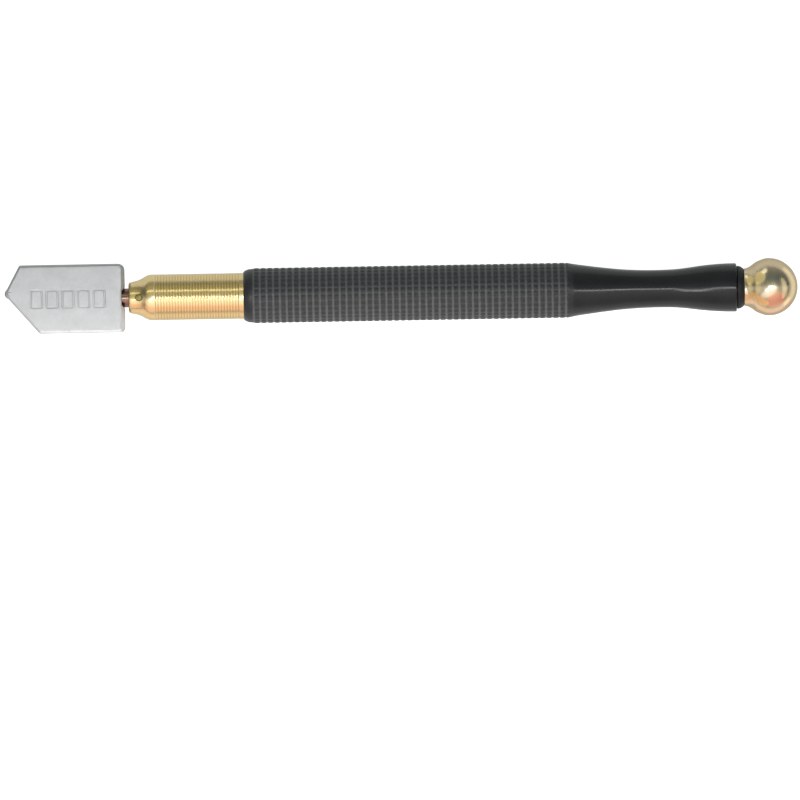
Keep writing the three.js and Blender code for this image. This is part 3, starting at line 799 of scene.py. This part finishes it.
def build_head():
    T = HEAD_HALF_T
    c = CHAMFER
    ob = chamfered_plate("head_body_fine", HEAD_OUT, T, [(0, c + 0.12), (0.05, c - 0.04), (0.16, c - 0.19), (c - 0.11, 0.08), (c - 0.03, 0.02), (c + 0.06, 0)])
    wx, wy = (WHEEL_C.x - TIP) / MM, WHEEL_C.y / MM
    cut(ob, lathe("c1", [(-0.65, 0), (-0.65, 1.5), (0.65, 1.5), (0.65, 0)], 64, axis="z", centre=(wx, wy)))
    cut(ob, lathe("c2", [(-7, 0), (-7, 0.37), (7, 0.37), (7, 0)], 40, axis="z", centre=(wx, wy)))
    cut(ob, lathe("c3", [(16.3, 0), (16.3, 2.16), (25.68, 2.16), (25.84, 2.3), (25.84, 3.45), (27.5, 3.45), (27.5, 0)], 96))
    cut(ob, lathe("c4", [(2.2, 0), (2.2, 0.8), (17.3, 0.8), (17.3, 0)], 32))
    # five plain blocks in a row, each standing in its own shallow sunk frame
    starts = [5.75 + 3.46 * k for k in range(5)]
    for x0 in starts:
        cut(ob, sloped_prism("m", (x0, x0 + 2.70, -2.0, 2.0), 0.5, T - 0.13, T + 0.13, 0.26))
    bm = bmesh.new()
    bm.from_mesh(ob.data)
    bmesh.ops.triangulate(bm, faces=bm.faces[:])
    for k in range(-6, 7):
        bmesh.ops.bisect_plane(bm, geom=bm.verts[:] + bm.edges[:] + bm.faces[:], dist=1e-8,
                               plane_co=(0, k * HEAD_W / 7.0 * MM + 1e-5, 0), plane_no=(0, 1, 0))
    # both faces slope down to the rear edge
    slope0 = 25.75
    for x in (24.0, 25.1, slope0):
        bmesh.ops.bisect_plane(bm, geom=bm.verts[:] + bm.edges[:] + bm.faces[:], dist=1e-8, plane_co=(X(x), 0, 0), plane_no=(1, 0, 0))
    for v in bm.verts:
        past = (v.co.x - X(slope0)) / MM
        if past > 0:
            top = (T - 0.95 * past) * MM
            z = v.co.z - AXIS_Z
            v.co.z = AXIS_Z + max(-top, min(top, z))
    # no doubled points, no slivers and no slits left over from the cuts
    bmesh.ops.remove_doubles(bm, verts=bm.verts[:], dist=2e-8)
    bmesh.ops.dissolve_degenerate(bm, edges=bm.edges[:], dist=1e-7)
    bmesh.ops.holes_fill(bm, edges=[e for e in bm.edges if e.is_boundary], sides=0)
    # the cast faces are slightly crowned across their width
    for v in bm.verts:
        z = v.co.z - AXIS_Z
        v.co.z = AXIS_Z + z * (1 - HEAD_CROWN / T * (v.co.y / (HEAD_W * MM)) ** 2)
    for x0 in starts:
        block = sloped_prism("b", (x0 + 0.07, x0 + 2.63, -1.93, 1.93), 0.60, T - 0.31, T, -0.31)
        bm.from_mesh(block.data)
        bpy.data.objects.remove(block)
    # the blocks and their frames keep crisp edges
    for e in bm.edges:
        if len(e.link_faces) == 2 and all(v.co.z > AXIS_Z + (T - 0.3) * MM and abs(v.co.y) < 2.25 * MM
                                          and X(5.4) < v.co.x < X(23.0) for v in e.verts):
            if e.calc_face_angle(0) > math.radians(12):
                e.smooth = False
    bm.to_mesh(ob.data)
    bm.free()
    wn = ob.modifiers.new("wn", "WEIGHTED_NORMAL")
    wn.mode = "FACE_AREA_WITH_ANGLE"
    wn.weight = 60
    wn.keep_sharp = True
    apply_modifiers(ob)
    finish_piece(ob, "head", "head_body", ZINC)

    # cutting wheel: two ground bevels meet on the rim, shallow relief rings on both sides
    R = (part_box("cutting_wheel")[1].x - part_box("cutting_wheel")[0].x) / 2 / MM
    h, r0, e = 0.5, 0.4, 0.2
    w = lathe("cutting_wheel_fine", fillet([(-h, 0.62), (-h, r0, 0.04), (h, r0, 0.04), (h, 0.58), (h - 0.03, 0.62), (h - 0.03, 0.84), (h, 0.88), (h, R - e, 0.02),
                                           (0.02, R), (-0.02, R), (-h, R - e, 0.02), (-h, 0.88), (-h + 0.03, 0.84), (-h + 0.03, 0.66), (-h, 0.62)], seg=3)[:-1], 96,
              axis="z", centre=(wx, wy), loop=True, sharp=25)
    flip_if_inside_out(w)
    finish_piece(w, "wheel", "cutting_wheel", CARBIDE)

    a = lathe("wheel_axle_fine", fillet([(-T + 0.07, 0), (-T + 0.07, 0.36, 0.08), (T - 0.07, 0.36, 0.08), (T - 0.07, 0)], seg=4), 40, axis="z", centre=(wx, wy))
    flip_if_inside_out(a)
    finish_piece(a, "head", "wheel_axle", PIN)

    s = lathe("head_stem_fine", fillet([(20, 0.8), (16.4, 0.8, 0.05), (16.4, 2.1, 0.25), (38.0, 2.1, 0.3), (38.0, 0.8, 0.05), (20, 0.8)], seg=4)[:-1], 96, loop=True)
    flip_if_inside_out(s)
    flat = prism("flat", [(SCREW_X - 1.5, -3), (SCREW_X + 0.7, -3), (SCREW_X + 0.7, 3), (SCREW_X - 1.5, 3)], 1.55, 3)
    cut(s, flat)
    finish_piece(s, "head", "head_stem", COPPER)

    def strands(x, r, a):
        tw = a - x * 1.1
        return x, r * (1 - 0.14 * np.abs(np.sin(1.5 * tw))) * (1 + 0.015 * np.sin(9 * x + 3 * a))

    k = lathe("stem_wick_fine", refine([(3.0, 0), (3.0, 0.5), (3.15, 0.66), (37.6, 0.66), (37.8, 0.5), (37.8, 0)], 0.25), 36, fn=strands)
    flip_if_inside_out(k)
    finish_piece(k, "head", "stem_wick", COTTON)


# ------------------------------------------------------------------ seal ring and ball cap
def build_cap():
    ring = fillet([(162.3, 3.0), (161.56, 3.0, 0.3), (161.56, 4.86, 0.28), (162.45, 4.58, 0.7), (163.10, 4.12, 0.3), (163.10, 3.0, 0.3), (162.3, 3.0)],
                  seg=6)[:-1]
    o = lathe("cap_seal_fine", ring, 96, loop=True, sharp=50)
    flip_if_inside_out(o)
    finish_piece(o, "cap_ring", "cap_seal", RUBBER)

    centre = LENGTH - BALL_R
    neck = fillet([(161.3, 2.88), (163.16, 2.88, 0.08), (163.16, 4.11, 0.1), (164.0, 4.20, 0.0)], seg=3)
    start = math.asin(5.55 / BALL_R)
    ball = [(centre - BALL_R * math.cos(t), BALL_R * math.sin(t)) for t in np.linspace(start, math.pi, 72)[1:]]
    # the flank behind the neck is a little slimmer than a true ball
    ball = [(x, r - 0.17 * (1 - min(1.0, max(0.0, (x - 165.9) / 2.6)) ** 2 * (3 - 2 * min(1.0, max(0.0, (x - 165.9) / 2.6))))) for x, r in ball]
    ball[-1] = (LENGTH, 0.0)
    neck = neck[:-1] + [(163.4, 4.145), (163.7, 4.20), (164.0, 4.305), (164.3, 4.45), (164.6, 4.63), (164.9, 4.835), (165.15, 5.02), (165.4, 5.215)]
    rows = [156.9 + 0.1 * k for k in range(0, 45)]
    stud = [(156.9, 0.0), (156.9, 2.4)] + [(x, THREAD_MEAN) for x in rows] + [(161.36, 2.92)]
    profile = stud + neck + ball
    first, count = 2, len(rows)

    def fn(x, r, a):
        r = r.copy()
        g = slice(first, first + count)
        rr = thread_radius(x[g], a[g], THREAD_MEAN)
        lead = np.clip((x[g] - 156.9) / 0.7, 0, 1)
        tail = np.clip((161.4 - x[g]) / 0.35, 0, 1)
        cap_r = 2.7 + 1.05 * lead
        rr = np.minimum(rr, cap_r)
        r[g] = 2.9 + (rr - 2.9) * tail
        return x, r

    b = lathe("ball_cap_fine", profile, 120, fn=fn, sharp=30)
    flip_if_inside_out(b)
    finish_piece(b, "cap", "ball_cap", BALL)


build_handle()
build_ferrule()
build_valve()
build_head()
build_cap()

# ------------------------------------------------------------------ floor, light, camera
def build_stage():
    n, R = 64, 3.0
    verts = [(0, 0, -0.00002)] + [(R * math.cos(k * 2 * math.pi / n), R * math.sin(k * 2 * math.pi / n), -0.00002) for k in range(n)]
    faces = [(0, 1 + k, 1 + (k + 1) % n) for k in range(n)]
    floor = make_mesh("floor", verts, faces, smooth=False)
    m = bpy.data.materials.new("floor")
    m.use_nodes = True
    b = m.node_tree.nodes["Principled BSDF"]
    b.inputs["Base Color"].default_value = (0.72, 0.72, 0.72, 1)
    b.inputs["Roughness"].default_value = 0.9
    b.inputs["Specular IOR Level"].default_value = 0.0
    b.inputs["Emission Color"].default_value = (1, 1, 1, 1)
    lp = m.node_tree.nodes.new("ShaderNodeLightPath")
    glow = m.node_tree.nodes.new("ShaderNodeMapRange")
    glow.inputs["To Min"].default_value = 0.28
    glow.inputs["To Max"].default_value = 0.93
    m.node_tree.links.new(lp.outputs["Is Camera Ray"], glow.inputs["Value"])
    m.node_tree.links.new(glow.outputs["Result"], b.inputs["Emission Strength"])
    floor.data.materials.append(m)


STRIP = 8.0


def build_world():
    """A ring of soft panels round the tool: radiance is a function of the angle from overhead toward the near
    side, falling off toward the tool's two ends, plus one narrow bright strip light over the tool."""
    w = bpy.data.worlds.new("studio")
    bpy.context.scene.world = w
    w.use_nodes = True
    nt = w.node_tree
    nt.nodes.clear()

    def math_node(op, a, b=None):
        n = nt.nodes.new("ShaderNodeMath")
        n.operation = op
        for i, v in enumerate((a, b)):
            if v is None:
                continue
            if isinstance(v, (int, float)):
                n.inputs[i].default_value = v
            else:
                nt.links.new(v, n.inputs[i])
        return n.outputs[0]

    def smooth(value, lo, hi, out_lo, out_hi):
        n = nt.nodes.new("ShaderNodeMapRange")
        n.interpolation_type = "SMOOTHSTEP"
        nt.links.new(value, n.inputs["Value"])
        for k, v in (("From Min", lo), ("From Max", hi), ("To Min", out_lo), ("To Max", out_hi)):
            n.inputs[k].default_value = v
        return n.outputs["Result"]

    out = nt.nodes.new("ShaderNodeOutputWorld")
    tc = nt.nodes.new("ShaderNodeTexCoord")
    sep = nt.nodes.new("ShaderNodeSeparateXYZ")
    nt.links.new(tc.outputs["Generated"], sep.inputs[0])
    x, z = sep.outputs["X"], sep.outputs["Z"]
    angle = math_node("ARCTAN2", math_node("MULTIPLY", sep.outputs["Y"], -1.0), z)
    mr = nt.nodes.new("ShaderNodeMapRange")
    nt.links.new(angle, mr.inputs["Value"])
    mr.inputs["From Min"].default_value = -math.pi / 2
    mr.inputs["From Max"].default_value = math.pi / 2
    ramp = nt.nodes.new("ShaderNodeValToRGB")
    nt.links.new(mr.outputs["Result"], ramp.inputs["Fac"])
    # angle from overhead in degrees (negative: far side, +Y; positive: near side, -Y), radiance
    stops = [(-90, (0.52, 0.52, 0.52)), (-80, (0.35, 0.36, 0.35)), (-62, (0.26, 0.28, 0.27)), (-46, (0.19, 0.245, 0.255)),
             (-30, (0.20, 0.26, 0.275)), (-16, (0.33, 0.375, 0.385)), (-7, (0.45, 0.49, 0.52)), (0, (0.74, 0.77, 0.80)),
             (6, (1.0, 1.0, 1.02)), (26, (0.92, 0.92, 0.92)), (44, (0.66, 0.65, 0.64)), (62, (0.50, 0.49, 0.48)),
             (80, (0.50, 0.49, 0.48)), (90, (0.62, 0.61, 0.60))]
    cr = ramp.color_ramp
    while len(cr.elements) < len(stops):
        cr.elements.new(0.5)
    for el, (deg, col) in zip(cr.elements, stops):
        el.position = (deg + 90) / 180
    top = 1.1
    for el, (deg, col) in zip(cr.elements, stops):
        el.color = (*[c / top for c in col], 1)
    away = math_node("ABSOLUTE", x)
    base = nt.nodes.new("ShaderNodeBackground")
    nt.links.new(ramp.outputs["Color"], base.inputs["Color"])
    nt.links.new(smooth(away, 0.25, 0.95, top, top * 0.55), base.inputs["Strength"])
    # the strip sags toward the near side at its front end
    rad = math.radians
    centre = smooth(math_node("MULTIPLY", x, -1.0), 0.05, 0.22, rad(3.1), rad(15.0))
    off = math_node("ABSOLUTE", math_node("SUBTRACT", angle, centre))
    glow = math_node("MULTIPLY", smooth(off, rad(2.5), rad(3.6), 1.0, 0.0), smooth(away, 0.32, 0.44, STRIP - 1, 0.0))
    strip = nt.nodes.new("ShaderNodeBackground")
    strip.inputs["Color"].default_value = (1, 1, 1, 1)
    nt.links.new(glow, strip.inputs["Strength"])
    both = nt.nodes.new("ShaderNodeAddShader")
    nt.links.new(base.outputs[0], both.inputs[0])
    nt.links.new(strip.outputs[0], both.inputs[1])
    plain = nt.nodes.new("ShaderNodeBackground")
    plain.inputs["Color"].default_value = (1, 1, 1, 1)
    plain.inputs["Strength"].default_value = 1.0
    lp = nt.nodes.new("ShaderNodeLightPath")
    mix = nt.nodes.new("ShaderNodeMixShader")
    nt.links.new(lp.outputs["Is Camera Ray"], mix.inputs[0])
    nt.links.new(both.outputs[0], mix.inputs[1])
    nt.links.new(plain.outputs[0], mix.inputs[2])
    nt.links.new(mix.outputs[0], out.inputs["Surface"])


def softbox(name, target, a_deg, dist, size_x, size_a, radiance, color, receivers, x_deg=0.0, turn=0.0, glossy=True, shape="RECTANGLE"):
    """A soft panel facing target, a_deg from overhead toward the near side, lighting only the named pieces."""
    li = bpy.data.lights.new(name, "AREA")
    li.shape = shape
    li.size, li.size_y = size_x, size_a
    li.energy = 4 * size_x * size_a * radiance * (math.pi / 4 if shape == "ELLIPSE" else 1)
    li.color = color
    ob = bpy.data.objects.new(name, li)
    bpy.context.scene.collection.objects.link(ob)
    a, b = math.radians(a_deg), math.radians(x_deg)
    d = Vector((math.sin(b), -math.sin(a) * math.cos(b), math.cos(a) * math.cos(b)))
    ob.location = target + d * dist
    xa = Vector((1, 0, 0)) - d * d.x
    xa.normalize()
    ya = d.cross(xa)
    t = math.radians(turn)
    xa, ya = xa * math.cos(t) + ya * math.sin(t), ya * math.cos(t) - xa * math.sin(t)
    ob.rotation_mode = "QUATERNION"
    ob.rotation_quaternion = Matrix((xa, ya, d)).transposed().to_quaternion()
    ob.visible_camera = False
    ob.visible_glossy = glossy
    coll = bpy.data.collections.new(name + "_on")
    for r in receivers:
        coll.objects.link(bpy.data.objects[r])
    ob.light_linking.receiver_collection = coll


def build_lights():
    ball = Vector((X(LENGTH - BALL_R), 0, AXIS_Z))
    mid = Vector((X(42), 0, AXIS_Z))
    brass = ["ferrule_fine", "stem_lock_screw_fine", "head_stem_fine"]
    softbox("ferrule_key", mid, 29, 0.5, 1.6, 0.30, 0.46, (1.0, 0.90, 1.0), brass)
    softbox("ferrule_warm", mid, 62, 0.5, 1.3, 0.32, 0.54, (1.0, 0.48, 0.46), brass)
    softbox("ferrule_far", mid, -36, 0.5, 1.3, 0.50, 0.16, (1.0, 0.76, 0.16), brass)
    softbox("ferrule_line", mid, -33, 0.5, 1.0, 0.045, 1.4, (1.0, 1.0, 0.98), brass)
    softbox("ferrule_card", mid, 97, 0.016, 0.06, 0.0078, 0.26, (1.0, 0.40, 0.36), brass)
    cap = ["ball_cap_fine"]
    softbox("ball_key", ball, 22, 0.5, 0.86, 0.30, 0.73, (0.94, 0.89, 1.0), cap, x_deg=-4, turn=30, shape="ELLIPSE")
    softbox("ball_warm", ball, 60, 0.25, 0.34, 0.34, 0.52, (1.0, 0.16, 0.10), cap, x_deg=20, turn=22, shape="ELLIPSE")
    softbox("ball_gold", ball, 72, 0.3, 0.40, 0.20, 0.60, (1.0, 0.50, 0.12), cap, x_deg=-38, shape="ELLIPSE")
    softbox("ball_side", ball, -50, 0.4, 0.36, 0.36, 0.55, (1.0, 0.88, 0.45), cap, x_deg=-44, shape="ELLIPSE")
    softbox("ball_neck", ball, 8, 0.4, 0.20, 0.34, 0.36, (1.0, 0.92, 0.50), cap, x_deg=-56, shape="ELLIPSE")
    softbox("ball_spark", ball, -70, 0.4, 0.16, 0.14, 1.1, (1.0, 1.0, 1.0), cap, x_deg=-20, shape="ELLIPSE")
    softbox("ball_card", ball, 97, 0.016, 0.046, 0.0078, 0.52, (1.0, 0.55, 0.46), cap, x_deg=5)
    softbox("ball_right", ball, 12, 0.3, 0.12, 0.44, 0.64, (1.0, 0.95, 0.78), cap, x_deg=64, shape="ELLIPSE")
    softbox("ball_card_right", ball, 0, 0.016, 0.0078, 0.040, 0.42, (1.0, 0.92, 0.66), cap, x_deg=97)
    softbox("ball_card_far", ball, -97, 0.016, 0.046, 0.0078, 0.09, (1.0, 0.90, 0.76), cap, x_deg=5)
    grip = ["handle_barrel_fine"]
    softbox("grip_fill", Vector((X(80), 0, AXIS_Z)), 60, 0.12, 0.055, 0.15, 6.0, (1.0, 0.99, 0.98), grip, glossy=False)
    softbox("grip_top", Vector((X(72), 0, AXIS_Z)), -68, 0.12, 0.05, 0.10, 2.2, (1.0, 0.99, 0.98), grip, glossy=False)
    head = Vector((X(14), -2.0 * MM, AXIS_Z + HEAD_HALF_T * MM))
    zinc = ["head_body_fine", "wheel_axle_fine"]
    softbox("head_fill", head, 52, 0.032, 0.05, 0.016, 1.6, (1.0, 0.995, 0.99), zinc)
    softbox("head_edge", head, 84, 0.3, 0.5, 0.16, 2.1, (1.0, 1.0, 1.0), zinc)
    softbox("head_rear", Vector((X(26.2), -7 * MM, AXIS_Z + 2 * MM)), 0, 0.02, 0.02, 0.012, 1.1, (1.0, 1.0, 1.0), zinc, x_deg=72)


def build_camera():
    cam = bpy.data.cameras.new("camera")
    ob = bpy.data.objects.new("camera", cam)
    bpy.context.scene.collection.objects.link(ob)
    bpy.context.scene.camera = ob
    cam.sensor_width = 36.0
    px = LENGTH / 793.1                              # mm per picture dot on the axis plane
    dist = 2500.0
    cam.lens = 36.0 * dist / (800 * px)
    roll = math.radians(1.0)
    right = Vector((math.cos(roll), -math.sin(roll), 0))
    up = Vector((math.sin(roll), math.cos(roll), 0))
    mid = Vector(((CAD_BOX[0].x + CAD_BOX[1].x) / 2, 0, AXIS_Z))
    # the tool's middle stands above the middle of the picture
    ob.location = mid + right * ((400 - 401.15) * px * MM) - up * ((400 - 293.15) * px * MM) + Vector((0, 0, dist * MM))
    m = Matrix((right, up, Vector((0, 0, 1)))).transposed()
    ob.rotation_mode = "QUATERNION"
    ob.rotation_quaternion = m.to_quaternion()
    cam.clip_start, cam.clip_end = 0.01, 20
    cam.dof.use_dof = False


build_stage()
build_world()
build_lights()
build_camera()
bpy.context.scene.view_settings.view_transform = "Standard"
